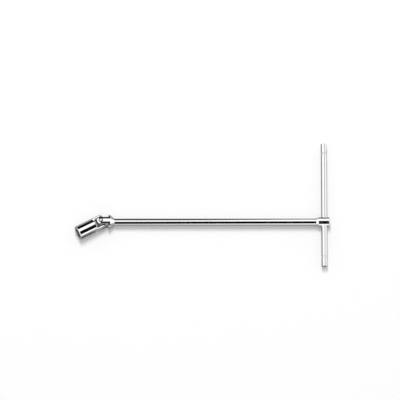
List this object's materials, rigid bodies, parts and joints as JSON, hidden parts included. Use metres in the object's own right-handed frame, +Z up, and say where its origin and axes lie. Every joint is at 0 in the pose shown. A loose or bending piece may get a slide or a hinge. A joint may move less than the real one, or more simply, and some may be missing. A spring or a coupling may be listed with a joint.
{
  "type": "t-handle socket wrench",
  "caption": "T-handle wrench with a long round shaft, a sliding tee bar held by a ball detent, and a hexagon socket on a universal joint.",
  "frame": {"origin": "middle of the bounding box in plan, at the level of the table the wrench lies on", "axes": "+X along the shaft from the socket to the tee head, +Y along the tee bar, +Z up"},
  "size_m": [0.3438, 0.175, 0.0227],
  "materials": {
    "chrome": "polished",
    "pin_steel": "ground",
    "spring_steel": "drawn"
  },
  "bodies": {
    "wrench_shaft": {"shaft_rod": "chrome", "shaft_yoke": "chrome", "yoke_pin": "pin_steel", "tee_head": "chrome", "detent_spring": "spring_steel", "detent_plug": "chrome"},
    "joint_cross": {"centre_block": "pin_steel"},
    "socket": {"hex_socket": "chrome", "socket_pin_left": "pin_steel", "socket_pin_right": "pin_steel"},
    "sliding_bar": {"tee_bar": "chrome"},
    "detent": {"detent_ball": "pin_steel"}
  },
  "joints": [
    {"name": "socket_swing", "type": "hinge", "parent": "wrench_shaft", "child": "joint_cross", "pos_m": [-0.13653, -0.0243, 0.0099], "axis": [0, 0, 1], "range_deg": [-74, 16]},
    {"name": "socket_lift", "type": "hinge", "parent": "joint_cross", "child": "socket", "pos_m": [-0.13653, -0.0243, 0.0099], "axis": [-0.4848, 0.8746, 0], "range_deg": [-50, 40]},
    {"name": "bar_slide", "type": "slide", "parent": "wrench_shaft", "child": "sliding_bar", "axis": [0, 1, 0], "range_m": [-0.0983, 0.0497]},
    {"name": "ball_press", "type": "slide", "parent": "wrench_shaft", "child": "detent", "axis": [1, 0, 0], "range_m": [-0.0008, 0], "stiffness_N_per_m": 1500, "springref_m": 0.001, "deforming": ["detent_spring"]}
  ]
}
